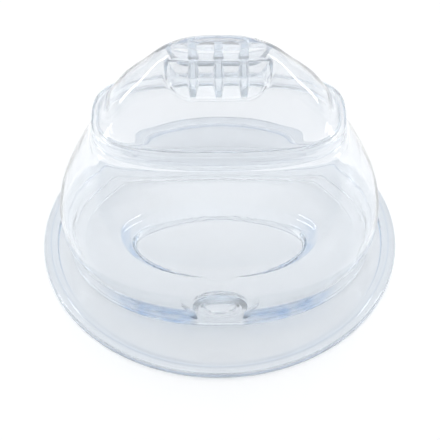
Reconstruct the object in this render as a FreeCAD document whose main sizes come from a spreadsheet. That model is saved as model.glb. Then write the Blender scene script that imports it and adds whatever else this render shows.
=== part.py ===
"""Humidity dome tray: a round saucer tray, an oval dome, a lift-off hood with a pinch grip,
and a port plug.

Every piece is clear moulded plastic.  The frame has +Z up, its origin is under the tray's centre on the
surface that the tray stands on, +X is along the dome's long side and -Y is towards its front.
"""

import FreeCAD, Part
import math
import os
import Sketcher

V = FreeCAD.Vector
UP = V(0, 0, 1)

# A level section of a moulded form is a four-centre oval: two end arcs and two side arcs, all tangent.
# name: (height, half width along X, half depth along Y, radius of the end arcs)
DOME_SECTIONS = {
    "band": (12.0, 84.5, 66.5, 50.0),
    "flare": (22.0, 88.0, 72.0, 50.0),
    "belly": (36.0, 87.6, 75.2, 50.0),
    "waist": (50.0, 83.5, 73.0, 44.0),
    "shoulder": (64.0, 78.2, 65.0, 36.0),
    "brow": (77.0, 71.5, 51.5, 29.0),
    "ledge": (88.5, 67.6, 34.8, 26.0),
}
HOOD_SECTIONS = {
    "collar": (97.0, 64.6, 32.2, 23.0),
    "cheek": (106.0, 57.2, 27.8, 19.0),
    "slope": (116.0, 50.5, 22.5, 15.0),
    "temple": (126.0, 39.5, 17.0, 12.0),
    "crown": (134.0, 31.0, 12.3, 9.5),
    "ridge": (139.0, 22.5, 8.8, 7.0),
    "crest": (142.6, 12.0, 4.0, 3.2),
}
OTHER_OVALS = {
    "skirt": (88.5, 66.0, 33.2, 24.0),    # the hood's upright skirt, which stands on the dome's ledge
    "neck": (86.7, 63.2, 30.2, 21.2),     # the dome's neck, inside the skirt
}
SIZES = {
    "wall": 1.8,                  # shell thickness, measured level
    "fit_gap": 0.6,               # level gap between pieces that lift off each other
    "tray_radius": 100.0,
    "tray_floor": 1.8,
    "bead_width": 8.2,            # the tray's rolled rim, from its outer edge to the well
    "bead_height": 4.4,
    "bead_slope": 1.6,            # how far the rim's inner side slopes in
    "rib_height": 3.0,            # the low oval rib in the tray that locates the dome's foot
    "rib_thickness": 1.8,
    "neck_rise": 7.5,             # how far the dome's neck stands above its ledge
    "panel_height": 63.7,         # the raised oval panel on the dome's front
    "panel_half_width": 47.5,
    "panel_half_height": 15.0,
    "panel_rise": 4.6,
    "panel_reach": 95.0,          # how far forward the panel's outline runs, past the belly
    "port_height": 30.0,          # where the port's axis crosses its seat
    "port_depth": 75.6,
    "port_tilt": 15.0,            # degrees that the port looks down
    "seat_radius": 15.2,
    "seat_depth": 9.0,
    "bore_radius": 8.6,
    "bore_behind": 20.0,          # how far the cut for the bore runs behind the seat
    "plug_radius": 14.1,
    "plug_flange": 1.4,
    "stem_radius": 8.2,
    "stem_length": 4.5,
    "ring_radius": 11.2,          # the raised ring on the plug's face
    "ring_half_width": 0.7,
    "ring_rise": 0.5,
    "grip_half_width": 25.2,      # the finger recess in each face of the hood
    "grip_corner": 10.5,
    "grip_floor": 122.8,
    "grip_web": 6.5,              # from the hood's mid plane to the back of a recess
    "grip_rib_width": 4.4,
    "grip_rib_pitch": 12.6,
    "grip_rib_top": 137.0,        # where a rib's front edge meets the recess's back
    "grip_rib_reach": 18.5,       # how far from the mid plane a rib stands at the recess's floor
    "grip_rib_toe": 1.5,          # the height of its front there
    "beyond": 60.0,               # how far a cutting form runs past what it cuts
    "clear_of": 5.0,              # a short run past a face
}
GRIP_RIBS = 3

# Sketcher's numbers for a point of an edge, and for a sketch's own axes.
START, END, CENTRE = 1, 2, 3
ORIGIN_AXIS, Y_AXIS = -1, -2

doc = FreeCAD.newDocument("humidity_dome_tray")
sheet = doc.addObject("Spreadsheet::Sheet", "Sheet")


def fill_sheet():
    """Each driving dimension is a cell with an alias."""
    cells = dict(SIZES)
    for form, sections in (("dome", DOME_SECTIONS), ("hood", HOOD_SECTIONS), ("oval", OTHER_OVALS)):
        for name, values in sections.items():
            for what, value in zip(("height", "width", "depth", "ends"), values):
                cells[f"{form}_{name}_{what}"] = value
    for row, (alias, value) in enumerate(cells.items(), start=1):
        sheet.set(f"A{row}", alias)
        sheet.set(f"B{row}", str(value))
        sheet.setAlias(f"B{row}", alias)
    doc.recompute()


def cell(alias):
    return float(sheet.get(alias))


def length(*terms):
    """A length expression: the sum of sheet cells, each less one whose name starts with a minus sign."""
    signed = [f"- Sheet.{t[1:]}" if t.startswith("-") else f"+ Sheet.{t}" for t in terms]
    return f"(0 {' '.join(signed)}) * 1 mm"


def total(*terms):
    """The value of the same sum."""
    return sum(-cell(t[1:]) if t.startswith("-") else cell(t) for t in terms)


def new_body(label):
    body = doc.addObject("PartDesign::Body", label)
    body.Label = label
    return body


def new_sketch(body, name, role="XY_Plane", height=None):
    """A sketch on one of the body's origin planes, raised to the height that an expression gives."""
    sketch = body.newObject("Sketcher::SketchObject", name)
    face = next(f for f in body.Origin.OriginFeatures if f.Role == role)
    sketch.AttachmentSupport = [(face, "")]
    sketch.MapMode = "FlatFace"
    if height:
        sketch.setExpression("AttachmentOffset.Base.z", height)
    return sketch


def constrain(sketch, name, constraint, expression):
    """Adds a dimension and binds it to the sheet."""
    sketch.renameConstraint(sketch.addConstraint(constraint), name)
    sketch.setExpression(f"Constraints.{name}", expression)


def place_points(sketch, dimensions):
    """Dimensions from the origin: (name, direction, edge, point, terms of its length)."""
    for name, direction, edge, point, terms in dimensions:
        constraint = Sketcher.Constraint(f"Distance{direction}", ORIGIN_AXIS, START, edge, point, total(*terms))
        constrain(sketch, name, constraint, length(*terms))


def add_outline(sketch, points, free=()):
    """A closed outline of straight edges through points, each level or upright unless it is in free."""
    count = len(points)
    for i in range(count):
        sketch.addGeometry(Part.LineSegment(points[i], points[(i + 1) % count]), False)
    for i in range(count):
        following = (i + 1) % count
        sketch.addConstraint(Sketcher.Constraint("Coincident", i, END, following, START))
        if i not in free:
            level = abs(points[i].y - points[following].y) < 1e-6
            sketch.addConstraint(Sketcher.Constraint("Horizontal" if level else "Vertical", i))
    sketch.addConstraint(Sketcher.Constraint("Coincident", 0, START, ORIGIN_AXIS, START))


def add_oval(sketch, tag, oval, insets=()):
    """A four-centre oval named by its cells, such as dome_band, moved in by each cell in insets."""
    less = [f"-{i}" for i in insets]
    half_width, half_depth, end = [total(f"{oval}_{what}", *less) for what in ("width", "depth", "ends")]
    side = (half_width ** 2 + half_depth ** 2 - 2 * half_width * end) / (2 * (half_depth - end))
    along, down = half_width - end, side - half_depth
    turn = math.atan2(down, along)
    arcs = (
        (V(along, 0, 0), end, -turn, turn),
        (V(0, -down, 0), side, turn, math.pi - turn),
        (V(-along, 0, 0), end, math.pi - turn, math.pi + turn),
        (V(0, down, 0), side, math.pi + turn, 2 * math.pi - turn),
    )
    right, rear, left, front = [
        sketch.addGeometry(Part.ArcOfCircle(Part.Circle(centre, UP, radius), start, stop), False)
        for centre, radius, start, stop in arcs
    ]
    sketch.addConstraint([
        Sketcher.Constraint("Tangent", right, END, rear, START),
        Sketcher.Constraint("Coincident", rear, END, left, START),
        Sketcher.Constraint("Coincident", left, END, front, START),
        Sketcher.Constraint("Coincident", front, END, right, START),
        Sketcher.Constraint("Symmetric", right, START, right, END, ORIGIN_AXIS),
        Sketcher.Constraint("Symmetric", rear, START, rear, END, Y_AXIS),
        Sketcher.Constraint("Symmetric", front, START, front, END, Y_AXIS),
        Sketcher.Constraint("Equal", right, left),
        Sketcher.Constraint("Equal", rear, front),
    ])
    taken = "".join(f" - Sheet.{i}" for i in insets)
    wide, deep, ends = [f"(Sheet.{oval}_{what}{taken})" for what in ("width", "depth", "ends")]
    radius = f"({wide}^2 + {deep}^2 - 2 * {wide} * {ends}) / (2 * ({deep} - {ends}))"
    constrain(sketch, f"{tag}_ends", Sketcher.Constraint("Radius", right, end), f"{ends} * 1 mm")
    constrain(sketch, f"{tag}_side", Sketcher.Constraint("Radius", rear, side), f"{radius} * 1 mm")
    constrain(sketch, f"{tag}_along",
              Sketcher.Constraint("DistanceX", ORIGIN_AXIS, START, right, CENTRE, along),
              f"({wide} - {ends}) * 1 mm")


def oval_sketch(body, name, oval, insets=(), height=None):
    sketch = new_sketch(body, f"{body.Label}_{name}", height=height or length(f"{oval}_height"))
    add_oval(sketch, "oval", oval, insets)
    return sketch


def loft(body, sections):
    feature = body.newObject("PartDesign::AdditiveLoft", f"{body.Label}_loft")
    feature.Profile = sections[0]
    feature.Sections = sections[1:]
    doc.recompute()


def pad(body, sketch, how_far, reverse=False):
    feature = body.newObject("PartDesign::Pad", f"{sketch.Name}_pad")
    feature.Profile = sketch
    feature.setExpression("Length", how_far)
    feature.Reversed = reverse
    doc.recompute()


def revolve(body, sketch):
    feature = body.newObject("PartDesign::Revolution", f"{sketch.Name}_turn")
    feature.Profile = sketch
    feature.ReferenceAxis = (sketch, ["V_Axis"])
    feature.Angle = 360
    doc.recompute()


def combine(kind, label, *shapes):
    """Part::Cut and Part::Common take two objects, Part::MultiFuse any number."""
    feature = doc.addObject(f"Part::{kind}", label)
    if kind == "MultiFuse":
        feature.Shapes = list(shapes)
    else:
        feature.Base, feature.Tool = shapes
    doc.recompute()
    return feature


def both_faces(label, front):
    """The front form and its mirror image at the rear."""
    rear = doc.addObject("Part::Mirroring", f"{label}_rear")
    rear.Source = front
    rear.Normal = V(0, 1, 0)
    return combine("MultiFuse", label, front, rear)


def make_tray():
    """A round saucer: a flat floor, a rolled rim bead, and a low oval rib that locates the dome's foot."""
    body = new_body("base_tray")
    profile = new_sketch(body, "tray_profile", role="XZ_Plane")
    outer, high, floor = cell("tray_radius"), cell("bead_height"), cell("tray_floor")
    well = total("tray_radius", "-bead_width")
    add_outline(profile, [V(0, 0, 0), V(outer, 0, 0), V(outer, high, 0), V(well + cell("bead_slope"), high, 0),
                          V(well, floor, 0), V(0, floor, 0)], free=(3,))
    edge, top, slope = 1, 2, 3
    place_points(profile, (
        ("radius", "X", edge, START, ["tray_radius"]),
        ("height", "Y", edge, END, ["bead_height"]),
        ("bead_top", "X", top, END, ["tray_radius", "-bead_width", "bead_slope"]),
        ("well", "X", slope, END, ["tray_radius", "-bead_width"]),
        ("floor", "Y", slope, END, ["tray_floor"]),
    ))
    revolve(body, profile)
    rib = new_sketch(body, "tray_rib", height=length("tray_floor"))
    add_oval(rib, "outer", "dome_band", ["wall", "fit_gap"])
    add_oval(rib, "inner", "dome_band", ["wall", "fit_gap", "rib_thickness"])
    pad(body, rib, length("rib_height"))
    rim = [f"Edge{i}" for i, e in enumerate(body.Shape.Edges, start=1)
           if abs(e.BoundBox.XMax - outer) < 0.01 and abs(e.BoundBox.ZMin - high) < 0.01]
    solid = body.Tip
    rounding = body.newObject("PartDesign::Fillet", "rim_rounding")
    rounding.Base = (solid, rim)
    rounding.setExpression("Radius", "Sheet.bead_height / 2 * 1 mm")
    doc.recompute()
    return body


def dome_form(label, insets=()):
    """The dome's outer form, or with insets its core, which runs out through the foot and the neck."""
    body = new_body(label)
    under_ledge = length("dome_ledge_height", "-wall")
    names = list(DOME_SECTIONS)
    sections = [oval_sketch(body, n, f"dome_{n}", insets) for n in names[:-1]]
    if insets:
        sections.append(oval_sketch(body, "roof", "oval_neck", insets, under_ledge))
    else:
        sections.append(oval_sketch(body, names[-1], f"dome_{names[-1]}"))
    loft(body, sections)
    foot = oval_sketch(body, "foot", "dome_band", insets)
    pad(body, foot, length("dome_band_height", *([] if insets else ["-tray_floor"])), reverse=True)
    neck = oval_sketch(body, "neck", "oval_neck", insets, under_ledge)
    pad(body, neck, length("neck_rise", "wall", *(["clear_of"] if insets else [])))
    return body


def panel_prism(label, insets=()):
    """The oval panel's outline, run from the dome's mid plane to well in front of it."""
    body = new_body(label)
    sketch = new_sketch(body, f"{label}_oval", role="XZ_Plane")
    less = [f"-{i}" for i in insets]
    wide, high = total("panel_half_width", *less), total("panel_half_height", *less)
    middle = V(0, cell("panel_height"), 0)
    ellipse = sketch.addGeometry(Part.Ellipse(middle + V(wide, 0, 0), middle + V(0, high, 0), middle), False)
    sketch.exposeInternalGeometry(ellipse)
    long_axis, short_axis = ellipse + 1, ellipse + 2
    sketch.addConstraint([
        Sketcher.Constraint("Horizontal", long_axis),
        Sketcher.Constraint("PointOnObject", ellipse, CENTRE, Y_AXIS),
    ])
    place_points(sketch, [("up", "Y", ellipse, CENTRE, ["panel_height"])])
    for name, axis, half, terms in (
        ("wide", long_axis, wide, ["panel_half_width", *less]),
        ("high", short_axis, high, ["panel_half_height", *less]),
    ):
        across = Sketcher.Constraint("Distance", axis, START, axis, END, 2 * half)
        constrain(sketch, name, across, f"2 * {length(*terms)}")
    pad(body, sketch, length("panel_reach"))
    return body


def raised_panel(label, insets=()):
    """What the panel's outline takes of the dome's form, moved forward by the panel's rise."""
    form = dome_form(f"{label}_form", insets)
    form.setExpression("Placement.Base.y", f"-{length('panel_rise')}")
    return combine("Common", label, form, panel_prism(f"{label}_outline", insets))


def place_on_port(thing, back="0"):
    """Turns +Z into the port's outward direction and sets the base that far behind the port's seat."""
    thing.Placement = FreeCAD.Placement(V(0, 0, 0), FreeCAD.Rotation(V(1, 0, 0), 90 + cell("port_tilt")))
    thing.setExpression("Placement.Rotation.Angle", "(90 + Sheet.port_tilt) * 1 deg")
    thing.setExpression("Placement.Base.y", f"({back} * cos(Sheet.port_tilt * 1 deg) - Sheet.port_depth) * 1 mm")
    thing.setExpression("Placement.Base.z", f"(Sheet.port_height + {back} * sin(Sheet.port_tilt * 1 deg)) * 1 mm")


def port_cylinder(label, radius, behind, ahead=()):
    """A cylinder on the port's axis, from behind the seat to it, or on past it by the cells in ahead."""
    cylinder = doc.addObject("Part::Cylinder", label)
    cylinder.setExpression("Radius", length(radius))
    cylinder.setExpression("Height", length(behind, *ahead))
    place_on_port(cylinder, f"Sheet.{behind}")
    return cylinder


def make_dome():
    """The outer form, panel and port seat, hollowed by a core of the same kind and the port's bore."""
    outer = combine("MultiFuse", "dome_outer", dome_form("dome_form"), raised_panel("panel"),
                    port_cylinder("port_seat", "seat_radius", "seat_depth"))
    hollow = combine("MultiFuse", "dome_hollow", dome_form("dome_core", ["wall"]),
                     raised_panel("panel_core", ["wall"]),
                     port_cylinder("port_bore", "bore_radius", "bore_behind", ["clear_of"]))
    return combine("Cut", "dome_shell", outer, hollow)


def make_plug():
    """A plug: a dished flange with one raised ring, on a stem that enters the port from its base upward."""
    body = new_body("port_plug")
    sketch = new_sketch(body, "plug_profile", role="XZ_Plane")
    stem, edge = cell("stem_radius"), cell("plug_radius")
    ring_out, ring_in = total("ring_radius", "ring_half_width"), total("ring_radius", "-ring_half_width")
    seat, face = ["stem_length"], ["stem_length", "plug_flange"]
    ring, dish = [*face, "ring_rise"], [*face, "-ring_rise"]
    low, flat, high, dip = total(*seat), total(*face), total(*ring), total(*dish)
    add_outline(sketch, [
        V(0, 0, 0), V(stem, 0, 0), V(stem, low, 0), V(edge, low, 0), V(edge, flat, 0), V(ring_out, flat, 0),
        V(ring_out, high, 0), V(ring_in, high, 0), V(ring_in, flat, 0), V(stem, flat, 0), V(stem, dip, 0),
        V(0, dip, 0),
    ])
    place_points(sketch, (
        ("stem_outside", "X", 1, START, ["stem_radius"]),
        ("seat_level", "Y", 1, END, seat),
        ("edge", "X", 3, START, ["plug_radius"]),
        ("flange_top", "Y", 3, END, face),
        ("ring_outside", "X", 5, START, ["ring_radius", "ring_half_width"]),
        ("ring_top", "Y", 5, END, ring),
        ("ring_inside", "X", 7, START, ["ring_radius", "-ring_half_width"]),
        ("ring_foot", "Y", 7, END, face),
        ("dish_edge", "X", 9, START, ["stem_radius"]),
        ("dish_level", "Y", 9, END, dish),
    ))
    revolve(body, sketch)
    place_on_port(body, "Sheet.stem_length")
    return body


def hood_form(label, insets=()):
    """The hood's outer form, or with insets its core, which stops short of the crest."""
    body = new_body(label)
    names = list(HOOD_SECTIONS)[:-1] if insets else list(HOOD_SECTIONS)
    loft(body, [oval_sketch(body, n, f"hood_{n}", insets) for n in names])
    skirt = oval_sketch(body, "skirt", "oval_skirt", insets)
    pad(body, skirt, length("hood_collar_height", "-oval_skirt_height"))
    if insets:
        below = oval_sketch(body, "below", "oval_skirt", insets)
        pad(body, below, length("clear_of"), reverse=True)
    return body


def grip_outline(label, grow=()):
    """A recess seen from the front: open at the top, with round lower corners, and run out forward."""
    body = new_body(label)
    sketch = new_sketch(body, f"{label}_face", role="XZ_Plane")
    less = [f"-{g}" for g in grow]
    half, corner = total("grip_half_width", *grow), total("grip_corner", *grow)
    floor, top = total("grip_floor", *less), total("hood_crest_height", "clear_of")
    flat, bend = half - corner, floor + corner
    for first, last in (((-half, top), (-half, bend)), ((-flat, floor), (flat, floor)),
                        ((half, bend), (half, top)), ((half, top), (-half, top))):
        sketch.addGeometry(Part.LineSegment(V(*first), V(*last)), False)
    for x, start in ((-flat, math.pi), (flat, 1.5 * math.pi)):
        circle = Part.Circle(V(x, bend, 0), UP, corner)
        sketch.addGeometry(Part.ArcOfCircle(circle, start, start + math.pi / 2), False)
    left, bottom, right, over, left_bend, right_bend = range(6)
    sketch.addConstraint([
        Sketcher.Constraint("Tangent", left, END, left_bend, START),
        Sketcher.Constraint("Tangent", left_bend, END, bottom, START),
        Sketcher.Constraint("Tangent", bottom, END, right_bend, START),
        Sketcher.Constraint("Tangent", right_bend, END, right, START),
        Sketcher.Constraint("Coincident", right, END, over, START),
        Sketcher.Constraint("Coincident", over, END, left, START),
        Sketcher.Constraint("Horizontal", over),
        Sketcher.Constraint("Vertical", left),
        Sketcher.Constraint("Vertical", right),
        Sketcher.Constraint("Symmetric", bottom, START, bottom, END, Y_AXIS),
        Sketcher.Constraint("Equal", left_bend, right_bend),
    ])
    constrain(sketch, "corner", Sketcher.Constraint("Radius", left_bend, corner), length("grip_corner", *grow))
    place_points(sketch, (
        ("half", "X", right, START, ["grip_half_width", *grow]),
        ("floor", "Y", bottom, START, ["grip_floor", *less]),
        ("top", "Y", right, END, ["hood_crest_height", "clear_of"]),
    ))
    pad(body, sketch, length("beyond"))
    body.setExpression("Placement.Base.y", f"-{length('grip_web', *less)}")
    return body


def grip_ribs():
    """Upright ribs across the recess, deepest at its floor and running out to its back at their tops."""
    ribs = []
    for i in range(GRIP_RIBS):
        rib = doc.addObject("Part::Wedge", f"grip_rib_{i + 1}")
        middle = f"{i - (GRIP_RIBS - 1) / 2} * {length('grip_rib_pitch')}"
        for side, sign in (("min", "-"), ("max", "+")):
            for end in ("X", "X2"):
                rib.setExpression(f"{end}{side}", f"{middle} {sign} {length('grip_rib_width')} / 2")
        rib.setExpression("Ymin", f"-{length('grip_rib_reach')}")
        rib.setExpression("Ymax", f"-{length('grip_web')}")
        rib.setExpression("Zmin", length("grip_floor"))
        rib.setExpression("Z2min", length("grip_floor"))
        rib.setExpression("Zmax", length("grip_floor", "grip_rib_toe"))
        rib.setExpression("Z2max", length("grip_rib_top"))
        doc.recompute()
        ribs.append(rib)
    return combine("MultiFuse", "grip_ribs", *ribs)


def make_hood():
    """The outer form less a ribbed recess in each face, and a core that leaves a wall behind them."""
    recess = combine("Cut", "grip_recess", grip_outline("grip"), grip_ribs())
    outer = combine("Cut", "hood_outer", hood_form("hood_form"), both_faces("grips", recess))
    backing = both_faces("grip_backings", grip_outline("grip_backing", ["wall"]))
    hollow = combine("Cut", "hood_hollow", hood_form("hood_core", ["wall"]), backing)
    return combine("Cut", "vent_hood", outer, hollow)


def check(pieces):
    """Stops if any object failed or any piece isn't one sound solid."""
    failed = [o.Name for o in doc.Objects if {"Invalid", "Error"} & set(o.State)]
    if failed:
        raise SystemExit(f"failed objects: {failed}")
    for piece in pieces:
        shape = piece.Shape
        if shape.isNull() or not shape.isValid() or len(shape.Solids) != 1:
            raise SystemExit(f"{piece.Label} isn't one sound solid")
        print(piece.Label, round(shape.Volume), "mm3")


fill_sheet()
pieces = [make_tray(), make_dome(), make_hood(), make_plug()]
doc.recompute()
check(pieces)
os.makedirs("parts", exist_ok=True)
for piece in pieces:
    piece.Shape.exportStep(f"parts/{piece.Label}.step")
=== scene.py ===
"""Looks of the humidity dome tray: four clear plastic pieces skinned from rows of level ovals.

Lengths are written in millimetres and turned to metres when a mesh is made.
"""

import math

import bpy
import numpy as np
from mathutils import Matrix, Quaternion, Vector


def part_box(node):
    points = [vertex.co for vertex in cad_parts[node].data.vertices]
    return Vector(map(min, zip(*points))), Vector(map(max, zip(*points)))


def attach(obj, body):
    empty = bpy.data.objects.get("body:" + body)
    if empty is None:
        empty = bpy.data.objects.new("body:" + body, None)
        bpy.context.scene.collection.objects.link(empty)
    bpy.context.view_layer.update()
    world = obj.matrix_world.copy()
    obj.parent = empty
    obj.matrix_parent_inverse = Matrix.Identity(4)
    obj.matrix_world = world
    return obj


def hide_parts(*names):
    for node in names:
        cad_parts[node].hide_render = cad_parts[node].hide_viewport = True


MM = 0.001

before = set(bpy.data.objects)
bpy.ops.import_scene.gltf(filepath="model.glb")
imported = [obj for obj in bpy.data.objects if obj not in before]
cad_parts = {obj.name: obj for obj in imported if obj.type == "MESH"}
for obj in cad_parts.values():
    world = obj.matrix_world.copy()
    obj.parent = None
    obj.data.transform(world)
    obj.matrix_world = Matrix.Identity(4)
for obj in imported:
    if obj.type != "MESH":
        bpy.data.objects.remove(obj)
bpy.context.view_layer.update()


def node_box(node):
    """A node's lowest and highest corners in millimetres."""
    low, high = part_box(node)
    return np.array(low) / MM, np.array(high) / MM


# ---------------------------------------------------------------- sizes, read from the frame
_, tray_high = node_box("base_tray")
dome_low, dome_high = node_box("dome_shell")
hood_low, hood_high = node_box("vent_hood")

TRAY_RADIUS = tray_high[0]
FLOOR = dome_low[2]                       # the dome stands on the tray's floor
DOME_BACK = dome_high[1]                  # the belly's half depth
DOME_SIDE = dome_high[0]                  # the belly's half width
NECK_TOP = dome_high[2]
LEDGE = hood_low[2]                       # the hood's skirt stands on the dome's ledge
SKIRT_SIDE, SKIRT_FRONT = hood_high[0], hood_high[1]
CREST = hood_high[2]

WALL = 1.6
NECK_SIDE, NECK_FRONT = 63.2, 30.2        # the neck that the hood's skirt goes over
PORT_TILT = math.radians(15)
PORT_SEAT = np.array([0, -75.6, 30.0])    # where the port's axis crosses its seat
PORT_OUT = np.array([0, -math.cos(PORT_TILT), -math.sin(PORT_TILT)])
PORT_UP = np.array([0, -math.sin(PORT_TILT), math.cos(PORT_TILT)])
SEAT_RADIUS, SEAT_FADE = 15.2, 6          # the port's flat seat, and how far out it fades into the dome
BORE_RADIUS = 8.6


# ---------------------------------------------------------------- skinning rows of ovals
def oval(angles, half_width, half_depth, power):
    """Points of a superellipse at the given angles.  Power 2 is an ellipse, and more is boxier."""
    c, s = np.cos(angles), np.sin(angles)
    x = half_width * np.sign(c) * np.abs(c) ** (2 / power)
    y = half_depth * np.sign(s) * np.abs(s) ** (2 / power)
    return x, y


def even_angles(count, half_width, half_depth, power, weight=None):
    """Angles whose points lie evenly round the oval, or closer together where weight(x, y) is greater."""
    fine = np.linspace(0, 2 * math.pi, 20001)
    x, y = oval(fine, half_width, half_depth, power)
    step = np.hypot(np.diff(x), np.diff(y))
    if weight:
        step = step * weight((x[1:] + x[:-1]) / 2, (y[1:] + y[:-1]) / 2)
    along = np.concatenate([[0], np.cumsum(step)])
    return np.interp(np.arange(count) / count * along[-1], along, fine)


def smooth_rows(rows, spacing):
    """Rows (height, half width, half depth, power) filled in by a Catmull-Rom curve, spacing apart."""
    rows = np.array(rows, float)
    padded = np.vstack([2 * rows[0] - rows[1], rows, 2 * rows[-1] - rows[-2]])
    out = []
    for i in range(len(rows) - 1):
        p0, p1, p2, p3 = padded[i:i + 4]
        reach = max(np.linalg.norm(p2[:2] - p1[:2]), np.linalg.norm(p2[[0, 2]] - p1[[0, 2]]))
        steps = max(1, round(reach / spacing))
        for t in np.arange(steps) / steps:
            out.append(0.5 * (2 * p1 + (p2 - p0) * t + (2 * p0 - 5 * p1 + 4 * p2 - p3) * t ** 2
                              + (3 * p1 - p0 - 3 * p2 + p3) * t ** 3))
    out.append(rows[-1])
    return np.array(out)


def spread_rows(rows, step, fine_zone, fine):
    """Smoothed rows a step apart, and that much over fine apart inside the zone of heights."""
    dense = smooth_rows(rows, 0.1)
    ahead = np.diff(dense[:, :3], axis=0)
    weight = 1 + (fine - 1) * ((dense[1:, 0] > fine_zone[0]) & (dense[1:, 0] < fine_zone[1]))
    reach = np.maximum(np.hypot(ahead[:, 0], ahead[:, 1]), np.hypot(ahead[:, 0], ahead[:, 2]))
    along = np.concatenate([[0], np.cumsum(reach * weight)])
    places = np.linspace(0, along[-1], round(along[-1] / step) + 1)
    return [tuple(np.interp(place, along, dense[:, i]) for i in range(4)) for place in places]


def arc_rows(centre, radii, start, stop, power, steps):
    """Rows round an arc in section: centre is (height, half width, half depth), radii (level, upright)."""
    out = []
    for t in np.linspace(math.radians(start), math.radians(stop), steps):
        out.append((centre[0] + radii[1] * math.sin(t), centre[1] + radii[0] * math.cos(t),
                    centre[2] + radii[0] * math.cos(t), power))
    return out


def skin(rows, angles):
    """Points of the rows as an array of rows by columns by three."""
    grid = np.zeros((len(rows), len(angles), 3))
    for i, (height, half_width, half_depth, power) in enumerate(rows):
        grid[i, :, 0], grid[i, :, 1] = oval(angles, half_width, half_depth, power)
        grid[i, :, 2] = height
    return grid


def grid_object(name, grid, loop=False):
    """A mesh of quads over the grid, closed round its columns, and round its rows too if loop is set."""
    rows, columns = grid.shape[:2]
    faces = []
    for i in range(rows if loop else rows - 1):
        below, above = i * columns, (i + 1) % rows * columns
        for j in range(columns):
            k = (j + 1) % columns
            faces.append((below + j, below + k, above + k, above + j))
    mesh = bpy.data.meshes.new(name)
    mesh.from_pydata((grid.reshape(-1, 3) * MM).tolist(), [], faces)
    return finish_mesh(name, mesh)


def finish_mesh(name, mesh):
    """Welds the poles, turns the normals outward, smooths the shading and links the object."""
    import bmesh
    bm = bmesh.new()
    bm.from_mesh(mesh)
    bmesh.ops.remove_doubles(bm, verts=bm.verts, dist=0.00002)
    bmesh.ops.dissolve_degenerate(bm, edges=bm.edges, dist=0.000001)
    bmesh.ops.recalc_face_normals(bm, faces=bm.faces)
    for face in bm.faces:
        face.smooth = True
    bm.to_mesh(mesh)
    bm.free()
    thing = bpy.data.objects.new(name, mesh)
    bpy.context.scene.collection.objects.link(thing)
    return thing


def smooth_step(low, high, value):
    t = np.clip((value - low) / (high - low), 0, 1)
    return t * t * (3 - 2 * t)


def smooth_min(a, b, blend):
    """The lesser of a and b, rounded where they cross."""
    h = np.clip(0.5 + 0.5 * (b - a) / blend, 0, 1)
    return b * (1 - h) + a * h - blend * h * (1 - h)


def smooth_max(a, b, blend):
    return -smooth_min(-a, -b, blend)


def cut(thing, cutters):
    """Cuts closed cutters out of a closed piece, for good."""
    for cutter in cutters:
        boolean = thing.modifiers.new("cut", "BOOLEAN")
        boolean.operation = "DIFFERENCE"
        boolean.solver = "EXACT"
        boolean.object = cutter
    graph = bpy.context.evaluated_depsgraph_get()
    mesh = bpy.data.meshes.new_from_object(thing.evaluated_get(graph))
    thing.modifiers.clear()
    thing.data = mesh
    for cutter in cutters:
        bpy.data.objects.remove(cutter)


# ---------------------------------------------------------------- dome
# The outer surface from the foot up: (height, half width, half depth, power)
FOOT_EXTRA = 4.5                          # how much thicker the foot gets
DOME_ROWS = [
    (FLOOR + 2.4, 84.4, 66.4, 2.12),
    (10.5, 84.4, 66.4, 2.12),
    (14.0, 85.2, 67.8, 2.12),
    (20.0, 87.2, 71.2, 2.14),
    (28.0, DOME_SIDE - 0.3, DOME_BACK - 1.0, 2.16),
    (38.0, DOME_SIDE - 1.0, DOME_BACK, 2.2),
    (50.0, 82.8, 73.0, 2.25),
    (64.0, 76.2, 65.0, 2.3),
    (77.0, 69.8, 51.5, 2.45),
    (84.0, 67.5, 41.0, 2.6),
]
# The raised oval as (height, half width, half height, width of its sloping side), on each side of the wall.
# The plastic between the two is thick.
PANEL_OUTSIDE = (65.2, 50.3, 15.4, 3.2)
PANEL_INSIDE = (62.6, 43.2, 13.0, 1.6)
PANEL_DROOP = 0.0014                      # how much lower it hangs, for each square millimetre of way out
PANEL_RISE = 4.4                          # its rise at mid height
PANEL_UPRIGHT = 0.10                      # how much more it rises for each millimetre further up


def panel(grid, shape):
    """Pushes the oval panel out of the front, with a drafted side round it."""
    height, wide, high, draft = shape
    x, y, z = grid[..., 0], grid[..., 1], grid[..., 2]
    up = z - height + PANEL_DROOP * x ** 2
    far = np.hypot(x / wide, up / high)
    steep = np.hypot(x / wide ** 2, up / high ** 2)
    inward = -far * (far - 1) / np.maximum(steep, 1e-6)
    side = 0.5 * smooth_clamp(inward / draft, 0.1) + 0.5 * smooth_clamp(4 * inward / draft, 0.3)
    rise = PANEL_RISE + PANEL_UPRIGHT * (z - PANEL_OUTSIDE[0])
    y -= np.where(y < 0, rise * side, 0)


def smooth_clamp(value, round_off):
    """Value held between 0 and 1, with its two corners rounded."""
    return smooth_max(smooth_min(value, 1.0, round_off), 0.0, round_off)


def port_seat(grid, depth):
    """Flattens a round seat for the plug, depth behind the port's face."""
    offset = grid - PORT_SEAT
    out = offset @ PORT_OUT
    radial = np.linalg.norm(offset - out[..., None] * PORT_OUT, axis=-1)
    flat = (1 - smooth_step(SEAT_RADIUS - 1.0, SEAT_RADIUS + SEAT_FADE, radial)) * (grid[..., 1] < 0)
    grid += (flat * (-depth - out))[..., None] * PORT_OUT


def thick_foot(grid):
    """The foot's front is thicker to the left and right of its middle, and runs out towards the sides."""
    x, y, z = grid[..., 0], grid[..., 1], grid[..., 2]
    width = smooth_step(11, 17, np.abs(x)) * (1 - smooth_step(30, 66, np.abs(x)))
    low = np.clip((15 - z) / 12, 0, 1)
    y += np.where(y < 0, FOOT_EXTRA * width * low, 0)


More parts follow.
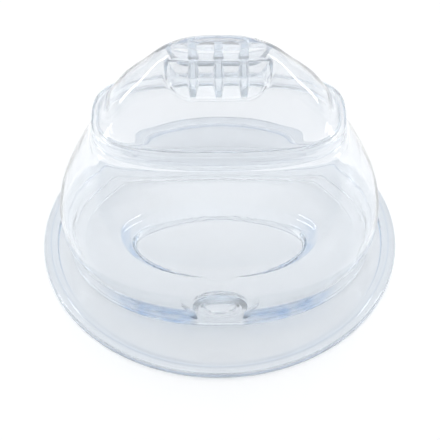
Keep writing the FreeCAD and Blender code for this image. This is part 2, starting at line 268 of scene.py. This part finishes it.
def make_dome():
    angles = even_angles(440, 85, 67, 2.2, lambda x, y: 1 + 1.6 * ((np.abs(x) < 53) & (y < 0)))
    outer = spread_rows(DOME_ROWS, 1.4, (48, 83), 2)
    foot = arc_rows((FLOOR + 1.2, 83.9, 65.9), (1.1, 1.2), -90, 60, 2.12, 6)
    ledge = [(86.8, 66.9, 36.0, 2.75), (87.9, 66.6, 35.0, 2.85),
             (88.4, 66.0, 34.2, 2.95), (88.5, 65.3, 33.0, 3.0),
             (88.5, 64.4, 31.6, 3.0), (88.9, 63.5, 30.5, 3.0), (89.8, NECK_SIDE, NECK_FRONT, 3.0)]
    neck = arc_rows((NECK_TOP - 0.8, NECK_SIDE - 0.8, NECK_FRONT - 0.8), (0.8, 0.8), 0, 180, 3.0, 9)
    inner_top = [(89.5, NECK_SIDE - WALL, NECK_FRONT - WALL, 3.0),
                 (87.6, 61.9, 28.9, 2.98), (86.6, 63.2, 31.2, 2.9),
                 (85.2, 65.2, 35.0, 2.8)]
    inner = [(z, a - WALL, b - WALL * 1.15, n) for z, a, b, n in reversed(DOME_ROWS)][1:]
    inner_rows = spread_rows(inner_top + inner, 1.9, (48, 83), 2)
    grid_out = skin(foot + outer + smooth_list(ledge, 0.7) + neck, angles)
    grid_in = skin(inner_rows, angles)
    panel(grid_out, PANEL_OUTSIDE)
    panel(grid_in, PANEL_INSIDE)
    thick_foot(grid_in)
    port_seat(grid_out, 0)
    port_seat(grid_in, WALL)
    dome = grid_object("dome_shell_clear", np.concatenate([grid_out, grid_in]), loop=True)
    cut(dome, [port_cylinder("port_bore", BORE_RADIUS, 16)])
    return dome


def smooth_list(rows, spacing):
    return [tuple(r) for r in smooth_rows(rows, spacing)]


def port_cylinder(name, radius, reach):
    """A closed cylinder along the port's axis."""
    turns = np.arange(96) / 96 * 2 * math.pi
    side = np.cross(PORT_OUT, PORT_UP)
    ring = radius * (np.cos(turns)[:, None] * side + np.sin(turns)[:, None] * PORT_UP)
    grid = np.stack([0 * ring, ring, ring, 0 * ring]) + PORT_SEAT
    grid[:2] -= reach * PORT_OUT
    grid[2:] += reach * PORT_OUT
    return grid_object(name, grid)


# ---------------------------------------------------------------- hood
HOOD_ROWS = [
    (95.6, 63.2, 32.2, 2.9),
    (99.0, 59.6, 30.8, 2.7),
    (106.0, 56.2, 27.7, 2.5),
    (116.0, 49.4, 22.6, 2.45),
    (126.0, 39.0, 17.0, 2.45),
    (134.0, 30.8, 12.3, 2.5),
    (139.0, 22.4, 8.7, 2.6),
    (CREST - 1.6, 17.0, 5.9, 2.5),
    (CREST - 0.35, 11.5, 2.9, 2.3),
    (CREST, 3.0, 0.05, 2.1),
]
GRIP_HALF, GRIP_CORNER, GRIP_FLOOR, GRIP_WEB = 25.2, 10.5, 123.2, 6.5
GRIP_TOP = 136.3                          # where a recess's back starts to lean out to the crest
GRIP_SLOPE = 6.0                          # how steep its floor and sides are
RIB_PITCH, RIB_HALF, RIB_STEEP = 12.6, 1.4, 9.0
RIB_TOE, RIB_TOP, RIB_REACH = 124.6, 137.0, 18.0   # the ribs reach furthest at their toes, near the floor


def grip_limit(x, z, grow):
    """How far from the mid plane the surface may stand, because of the finger recess and its ribs."""
    top = CREST + 30
    centre = (GRIP_FLOOR + top) / 2
    corner = GRIP_CORNER + grow
    beside = np.abs(x) - GRIP_HALF + GRIP_CORNER
    beyond = np.abs(z - centre) - (top - GRIP_FLOOR) / 2 + GRIP_CORNER
    outside = np.hypot(np.maximum(beside, 0), np.maximum(beyond, 0))
    outside += np.minimum(np.maximum(beside, beyond), 0) - corner
    back = GRIP_WEB - grow
    lean = 2.2 * np.maximum(z - GRIP_TOP + grow, 0)
    limit = np.maximum(back, back + lean) + GRIP_SLOPE * smooth_max(outside + 0.6, 0, 0.5)
    if grow:
        return limit
    aside = np.abs(x - RIB_PITCH * np.clip(np.round(x / RIB_PITCH), -1, 1))
    fin = RIB_REACH + (back - RIB_REACH) * np.clip((z - RIB_TOE) / (RIB_TOP - RIB_TOE), 0, 1)
    return smooth_max(limit, fin + 0.5 - RIB_STEEP * np.maximum(aside - RIB_HALF, 0), 0.7)


def press_grip(grid, grow):
    """Presses the finger recess into both faces."""
    x, y, z = grid[..., 0], grid[..., 1], grid[..., 2]
    depth = smooth_min(np.abs(y), grip_limit(x, z, grow), 1.3)
    grid[..., 1] = np.where(np.abs(y) < 1e-6, y, np.sign(y) * np.maximum(depth, 0))


def hood_angles():
    """Columns that lie closer together across the grip, and closer still at its sides."""
    def weight(x, y):
        return 1 + 2.5 * (np.abs(x) < 31) + 3 * ((np.abs(x) > 22) & (np.abs(x) < 31))
    return even_angles(500, 50, 23, 2.6, weight)


def make_hood():
    angles = hood_angles()
    side, front = SKIRT_SIDE, SKIRT_FRONT
    crown = list(reversed(spread_rows(HOOD_ROWS, 1.0, (120, 126), 3.5)))
    shoulder = arc_rows((94.4, side - 0.9, front - 0.9), (0.9, 1.0), 75, 0, 3.0, 5)
    lip = arc_rows((LEDGE + 0.7, side - 0.7, front - 0.7), (0.7, 0.7), 0, -90, 3.0, 4)
    outer = crown + shoulder + [(91.5, side, front, 3.0)] + lip
    inside = side - WALL, front - WALL
    skirt = [(LEDGE, side - 1.5, front - 1.5, 3.0), (LEDGE + 0.7, *inside, 3.0), (93.2, *inside, 3.0)]
    rows = [(95.4, 62.0, 30.2, 3.1)]
    rows += [(z, a - WALL, b - WALL, n) for z, a, b, n in HOOD_ROWS[1:7]]
    rows += [(CREST - 2.4, 14.0, 3.2, 2.3), (CREST - 1.7, 6.0, 0.05, 2.1)]
    grid_out = skin(outer, angles)
    grid_in = skin(skirt + spread_rows(rows, 1.3, (118.5, 124.5), 3), angles)
    press_grip(grid_out, 0)
    press_grip(grid_in, WALL)
    return grid_object("vent_hood_clear", np.concatenate([grid_out, grid_in]))


# ---------------------------------------------------------------- tray
RIB_HIGH = 0.9                            # the locating rib's height above the floor


def make_tray():
    angles = even_angles(360, 84, 66, 2.1)
    bead_top, radius = 4.4, TRAY_RADIUS
    well = radius - 8.2
    under = [(0, 0.02, 0.02, 2), (0, 30, 30, 2), (0, 60, 60, 2), (0, 88, 88, 2)]
    edge = [(0, 98.0, 98.0, 2), (0.15, 99.2, 99.2, 2), (0.8, 99.9, 99.9, 2)]
    bead = arc_rows((bead_top - 2.0, radius - 2.0, radius - 2.0), (2.0, 2.0), 0, 90, 2, 9)
    crease = [(bead_top, well + 4.5, well + 4.5, 2), (bead_top + 0.6, well + 4.2, well + 4.2, 2),
              (bead_top + 0.6, well + 3.8, well + 3.8, 2), (bead_top, well + 3.5, well + 3.5, 2)]
    inside = [(bead_top, well + 0.9, well + 0.9, 2), (bead_top - 0.25, well + 0.6, well + 0.6, 2),
              (FLOOR + 0.5, well + 0.2, well + 0.2, 2), (FLOOR + 0.1, well, well, 2),
              (FLOOR, well - 0.6, well - 0.6, 2)]
    floor = [(FLOOR, 88.5, 88.5, 2), (FLOOR, 86.5, 80, 2.03),
             (FLOOR, 84.5, 70, 2.08), (FLOOR, 82.6, 65.0, 2.12)]
    rib = arc_rows((FLOOR, 79.4, 61.4), (2.6, RIB_HIGH), 0, 180, 2.12, 13)
    middle = [(FLOOR, 60, 50, 2.1), (FLOOR, 30, 26, 2), (FLOOR, 0.02, 0.02, 2)]
    rows = under + edge + bead + crease + inside + floor + rib + middle
    return grid_object("base_tray_clear", skin(rows, angles))


# ---------------------------------------------------------------- plug
def make_plug():
    """The plug's section turned about the port's axis: (radius, height above the seat)."""
    # The flange stands a little off its seat, because light can't be traced between two faces in one place.
    profile = [(0.01, -2.6), (7.9, -2.6), (8.2, -2.3), (8.2, -0.2), (8.5, 0.12), (13.7, 0.12), (14.1, 0.4),
               (14.1, 0.8), (13.7, 1.1), (12.6, 1.15), (12.0, 1.25), (11.6, 1.5), (11.2, 1.6), (10.8, 1.5),
               (10.4, 1.25), (9.8, 1.15), (9.0, 1.15), (8.6, 1.05), (8.2, 0.85), (7.6, 0.8), (4.0, 0.8),
               (0.01, 0.8)]
    turns = np.arange(128) / 128 * 2 * math.pi
    side = np.cross(PORT_OUT, PORT_UP)
    ring = np.cos(turns)[:, None] * side + np.sin(turns)[:, None] * PORT_UP
    grid = np.stack([r * ring + h * PORT_OUT for r, h in profile]) + PORT_SEAT
    return grid_object("port_plug_clear", grid)


# ---------------------------------------------------------------- materials
CLARITY = 0.91                            # the share of light that isn't scattered at a face
INDEX = 1.49                              # its refractive index
ABSORPTION = 16                           # how strongly EDGE_TINT works, per metre
THICK_TINT_AND_PAINTED_SHADE = (0.56, 0.68, 0.87)           # the thick parts of the dome, with painted shade for the dark refraction at its foot and oval
RIM_PAINTED_SHADE = (0.42, 0.54, 0.74)             # painted shade of the two thin dark rings on the tray's rim
RIM_SHADE_RINGS = [(91.9, 0.9), (95.8, 0.45)]   # (radius, strength) of each painted dark ring
EDGE_TINT = (0.45, 0.68, 0.86)            # what is left of white light after a long way through the plastic


def clear_plastic(name, veil, ripple_size, depth, colour=None):
    """Clear moulded plastic: it bends and mirrors light, and tints it blue along its walls."""
    material = bpy.data.materials.new(name)
    material.use_nodes = True
    tree = material.node_tree
    nodes, links = tree.nodes, tree.links
    nodes.clear()
    output = nodes.new("ShaderNodeOutputMaterial")
    shader = nodes.new("ShaderNodeBsdfPrincipled")
    shader.inputs["Base Color"].default_value = (*veil, 1)
    shader.inputs["Transmission Weight"].default_value = CLARITY
    shader.inputs["IOR"].default_value = INDEX
    place = nodes.new("ShaderNodeTexCoord")
    ripple = nodes.new("ShaderNodeTexNoise")
    ripple.inputs["Scale"].default_value = 1 / (ripple_size * MM)
    ripple.inputs["Detail"].default_value = 2
    links.new(place.outputs["Object"], ripple.inputs["Vector"])
    bump = nodes.new("ShaderNodeBump")
    bump.inputs["Strength"].default_value = 0.12
    bump.inputs["Distance"].default_value = depth * MM
    links.new(ripple.outputs["Fac"], bump.inputs["Height"])
    links.new(bump.outputs["Normal"], shader.inputs["Normal"])
    # the tray's and the dome's colour functions paint shade into the base colour
    if colour:
        links.new(colour(nodes, links, place.outputs["Object"], veil), shader.inputs["Base Color"])
    scuff = nodes.new("ShaderNodeTexNoise")
    scuff.inputs["Scale"].default_value = 1 / (7 * MM)
    scuff.inputs["Detail"].default_value = 5
    links.new(place.outputs["Object"], scuff.inputs["Vector"])
    haze = nodes.new("ShaderNodeMapRange")
    haze.inputs["From Min"].default_value = 0.4
    haze.inputs["From Max"].default_value = 0.8
    haze.inputs["To Min"].default_value = 0.0
    haze.inputs["To Max"].default_value = 0.06
    links.new(scuff.outputs["Fac"], haze.inputs["Value"])
    links.new(haze.outputs["Result"], shader.inputs["Roughness"])
    absorb = nodes.new("ShaderNodeVolumeAbsorption")
    absorb.inputs["Color"].default_value = (*EDGE_TINT, 1)
    absorb.inputs["Density"].default_value = ABSORPTION
    lets_light = nodes.new("ShaderNodeBsdfTransparent")
    path = nodes.new("ShaderNodeLightPath")
    mix = nodes.new("ShaderNodeMixShader")
    links.new(path.outputs["Is Shadow Ray"], mix.inputs["Fac"])
    links.new(shader.outputs["BSDF"], mix.inputs[1])
    links.new(lets_light.outputs["BSDF"], mix.inputs[2])
    links.new(mix.outputs["Shader"], output.inputs["Surface"])
    links.new(absorb.outputs["Volume"], output.inputs["Volume"])
    return material


def band(nodes, links, value, low, high, rising=True):
    """A socket that goes smoothly between 0 and 1 as value goes from low to high thousandths."""
    step = nodes.new("ShaderNodeMapRange")
    step.interpolation_type = "SMOOTHSTEP"
    step.inputs["From Min"].default_value = low * MM
    step.inputs["From Max"].default_value = high * MM
    step.inputs["To Min"].default_value = 0 if rising else 1
    step.inputs["To Max"].default_value = 1 if rising else 0
    links.new(value, step.inputs["Value"])
    return step.outputs["Result"]


def times(nodes, links, *factors):
    """The product of several sockets."""
    product = factors[0]
    for factor in factors[1:]:
        node = nodes.new("ShaderNodeMath")
        node.operation = "MULTIPLY"
        links.new(product, node.inputs[0])
        links.new(factor, node.inputs[1])
        product = node.outputs["Value"]
    return product


def dome_tint_and_painted_shade(nodes, links, place, veil):
    """Bluer and darker at the foot's front beside its middle and at the raised oval's sides: partly the
    tint of thick plastic there, partly painted shade standing in for the dark refraction at these walls.
    """
    split = nodes.new("ShaderNodeSeparateXYZ")
    links.new(place, split.inputs["Vector"])
    aside = nodes.new("ShaderNodeMath")
    aside.operation = "ABSOLUTE"
    links.new(split.outputs["X"], aside.inputs[0])
    streak = nodes.new("ShaderNodeTexNoise")
    streak.inputs["Scale"].default_value = 1 / (9 * MM)
    streak.inputs["Detail"].default_value = 2
    links.new(place, streak.inputs["Vector"])
    uneven = nodes.new("ShaderNodeMapRange")
    uneven.inputs["From Min"].default_value = 0.38
    uneven.inputs["From Max"].default_value = 0.62
    uneven.inputs["To Min"].default_value = 0.2
    links.new(streak.outputs["Fac"], uneven.inputs["Value"])
    # painted shade at the foot's front, made uneven by the streak noise, on top of its thicker plastic
    amount = times(nodes, links, uneven.outputs["Result"],
                   band(nodes, links, split.outputs["Z"], 10, 13.5, rising=False),
                   band(nodes, links, split.outputs["Y"], -40, -30, rising=False),
                   band(nodes, links, aside.outputs["Value"], 12, 17),
                   band(nodes, links, aside.outputs["Value"], 46, 68, rising=False))
    # painted shade along the raised oval's sloping side
    panel_side = times(nodes, links, uneven.outputs["Result"], panel_band(nodes, links, place),
                       band(nodes, links, split.outputs["Y"], -40, -30, rising=False),
                       band(nodes, links, split.outputs["Z"], 60, 74, rising=False),
                       band(nodes, links, aside.outputs["Value"], 8, 34))
    both = nodes.new("ShaderNodeMath")
    both.operation = "MAXIMUM"
    links.new(amount, both.inputs[0])
    links.new(panel_side, both.inputs[1])
    return tinted(nodes, links, veil, THICK_TINT_AND_PAINTED_SHADE, both.outputs["Value"])


def panel_band(nodes, links, place):
    """A socket that is 1 between the raised oval's outer and inner edges."""
    height, wide, high, _ = PANEL_OUTSIDE
    split = nodes.new("ShaderNodeSeparateXYZ")
    links.new(place, split.inputs["Vector"])
    droop = nodes.new("ShaderNodeMath")
    droop.operation = "MULTIPLY"
    droop.inputs[1].default_value = PANEL_DROOP / MM
    links.new(times(nodes, links, split.outputs["X"], split.outputs["X"]), droop.inputs[0])
    centre = nodes.new("ShaderNodeMath")
    centre.operation = "SUBTRACT"
    centre.inputs[0].default_value = height * MM
    links.new(droop.outputs["Value"], centre.inputs[1])
    shift = nodes.new("ShaderNodeCombineXYZ")
    links.new(centre.outputs["Value"], shift.inputs["Z"])
    centred = nodes.new("ShaderNodeVectorMath")
    centred.operation = "SUBTRACT"
    links.new(place, centred.inputs[0])
    links.new(shift.outputs["Vector"], centred.inputs[1])
    level = nodes.new("ShaderNodeVectorMath")
    level.operation = "MULTIPLY"
    level.inputs[1].default_value = (1 / wide, 0, 1 / high)
    links.new(centred.outputs["Vector"], level.inputs[0])
    far = nodes.new("ShaderNodeVectorMath")
    far.operation = "LENGTH"
    links.new(level.outputs["Vector"], far.inputs[0])
    return times(nodes, links, band(nodes, links, far.outputs["Value"], 0.86, 0.90),
                 band(nodes, links, far.outputs["Value"], 0.97, 1.0, rising=False))


def rim_painted_shade(nodes, links, place, veil):
    """Two thin dark rings painted on the tray's rim where it steps: painted shade standing in for the dark
    lines at the steps' edges.
    """
    flat = nodes.new("ShaderNodeVectorMath")
    flat.operation = "MULTIPLY"
    flat.inputs[1].default_value = (1, 1, 0)
    links.new(place, flat.inputs[0])
    split = nodes.new("ShaderNodeSeparateXYZ")
    links.new(place, split.inputs["Vector"])
    radius = nodes.new("ShaderNodeVectorMath")
    radius.operation = "LENGTH"
    links.new(flat.outputs["Vector"], radius.inputs[0])
    amount = None
    # each ring is a painted dark line of shade at one of the rim's steps
    for middle, strength in RIM_SHADE_RINGS:
        off = nodes.new("ShaderNodeMath")
        off.operation = "SUBTRACT"
        off.inputs[1].default_value = middle * MM
        links.new(radius.outputs["Value"], off.inputs[0])
        away = nodes.new("ShaderNodeMath")
        away.operation = "ABSOLUTE"
        links.new(off.outputs["Value"], away.inputs[0])
        ring = nodes.new("ShaderNodeMath")
        ring.operation = "MULTIPLY_ADD"
        ring.inputs[1].default_value = strength
        links.new(band(nodes, links, away.outputs["Value"], 0.1, 0.4, rising=False), ring.inputs[0])
        if amount:
            links.new(amount, ring.inputs[2])
        else:
            ring.inputs[2].default_value = 0
        amount = ring.outputs["Value"]
    amount = times(nodes, links, amount, band(nodes, links, split.outputs["Z"], 1.4, 1.7))
    return tinted(nodes, links, veil, RIM_PAINTED_SHADE, amount)


def tinted(nodes, links, veil, tint, amount):
    """A colour socket that goes from veil to tint."""
    mix = nodes.new("ShaderNodeMix")
    mix.data_type = "RGBA"
    mix.inputs[6].default_value = (*veil, 1)
    mix.inputs[7].default_value = (*tint, 1)
    links.new(amount, mix.inputs[0])
    return mix.outputs[2]


def dress(thing, body, node, material):
    thing.data.materials.clear()
    thing.data.materials.append(material)
    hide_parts(node)
    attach(thing, body)


TRAY_LOOK = clear_plastic("tray_plastic", (0.862, 0.868, 0.878), 30, 1.0, rim_painted_shade)
DOME_LOOK = clear_plastic("dome_plastic", (0.952, 0.956, 0.962), 24, 1.0, dome_tint_and_painted_shade)
HOOD_LOOK = clear_plastic("hood_plastic", (0.948, 0.951, 0.958), 20, 0.8)
PLUG_LOOK = clear_plastic("plug_plastic", (0.98, 0.98, 0.985), 12, 0.5)

dress(make_tray(), "tray", "base_tray", TRAY_LOOK)
dress(make_dome(), "dome", "dome_shell", DOME_LOOK)
dress(make_hood(), "hood", "vent_hood", HOOD_LOOK)
dress(make_plug(), "plug", "port_plug", PLUG_LOOK)


# ---------------------------------------------------------------- studio
def plain(name, colour, roughness):
    material = bpy.data.materials.new(name)
    material.use_nodes = True
    shader = material.node_tree.nodes["Principled BSDF"]
    shader.inputs["Base Color"].default_value = (*colour, 1)
    shader.inputs["Roughness"].default_value = roughness
    return material


def make_floor():
    mesh = bpy.data.meshes.new("floor")
    half = 12.0
    corners = [(-half, -half, 0), (half, -half, 0), (half, half, 0), (-half, half, 0)]
    mesh.from_pydata(corners, [], [(0, 1, 2, 3)])
    floor = bpy.data.objects.new("floor", mesh)
    bpy.context.scene.collection.objects.link(floor)
    floor.location.z = -0.0002
    mesh.materials.append(plain("floor_paper", (0.92, 0.92, 0.92), 0.9))


def soft_box(name, where, size, power):
    """A rectangular lamp aimed at the dome's middle."""
    lamp = bpy.data.lights.new(name, "AREA")
    lamp.shape = "RECTANGLE"
    lamp.size, lamp.size_y = size
    lamp.energy = power
    thing = bpy.data.objects.new(name, lamp)
    bpy.context.scene.collection.objects.link(thing)
    thing.location = where
    aim = Vector((0, 0, 0.07)) - Vector(where)
    thing.rotation_euler = aim.to_track_quat("-Z", "Y").to_euler()


def make_world():
    """A white tent, brightest overhead and greyer low down, which the plastic picks up as dark lines."""
    world = bpy.data.worlds.new("studio")
    bpy.context.scene.world = world
    world.use_nodes = True
    nodes, links = world.node_tree.nodes, world.node_tree.links
    place = nodes.new("ShaderNodeTexCoord")
    split = nodes.new("ShaderNodeSeparateXYZ")
    links.new(place.outputs["Generated"], split.inputs["Vector"])
    ramp = nodes.new("ShaderNodeValToRGB")
    ramp.color_ramp.interpolation = "EASE"
    ramp.color_ramp.elements[0].position = 0.05
    ramp.color_ramp.elements[0].color = (0.58, 0.63, 0.70, 1)
    ramp.color_ramp.elements[1].position = 0.75
    ramp.color_ramp.elements[1].color = (1, 1, 1, 1)
    middle = ramp.color_ramp.elements.new(0.35)
    middle.color = (0.84, 0.86, 0.89, 1)
    links.new(split.outputs["Z"], ramp.inputs["Fac"])
    links.new(ramp.outputs["Color"], nodes["Background"].inputs["Color"])
    zenith = nodes.new("ShaderNodeMapRange")
    zenith.interpolation_type = "SMOOTHSTEP"
    zenith.inputs["From Min"].default_value = 0.80
    zenith.inputs["To Min"].default_value = 0.95
    zenith.inputs["To Max"].default_value = 1.45
    links.new(split.outputs["Z"], zenith.inputs["Value"])
    links.new(zenith.outputs["Result"], nodes["Background"].inputs["Strength"])


def make_camera():
    """Above and in front, as the object is usually pictured."""
    elevation, distance = math.radians(46.86), 0.700
    target = Vector((0.00025, 0, 0.0139))
    back = Vector((0, -math.cos(elevation), math.sin(elevation)))
    data = bpy.data.cameras.new("camera")
    data.lens = 101.2
    data.sensor_width = 36
    camera = bpy.data.objects.new("camera", data)
    bpy.context.scene.collection.objects.link(camera)
    camera.location = target + back * distance
    level = (-back).to_track_quat("-Z", "Y")
    lean = Quaternion((0, 0, 1), math.radians(-0.4))
    camera.rotation_euler = (level @ lean).to_euler()
    bpy.context.scene.camera = camera


make_floor()
make_world()
make_camera()
soft_box("strip_left", (-1.1, 0.15, 0.55), (0.16, 0.8), 2.6)
soft_box("strip_right", (1.1, 0.15, 0.55), (0.16, 0.8), 2.6)
scene = bpy.context.scene
scene.view_settings.view_transform = "Standard"
scene.cycles.max_bounces = 32
scene.cycles.transmission_bounces = 32
scene.cycles.glossy_bounces = 16
scene.cycles.transparent_max_bounces = 32
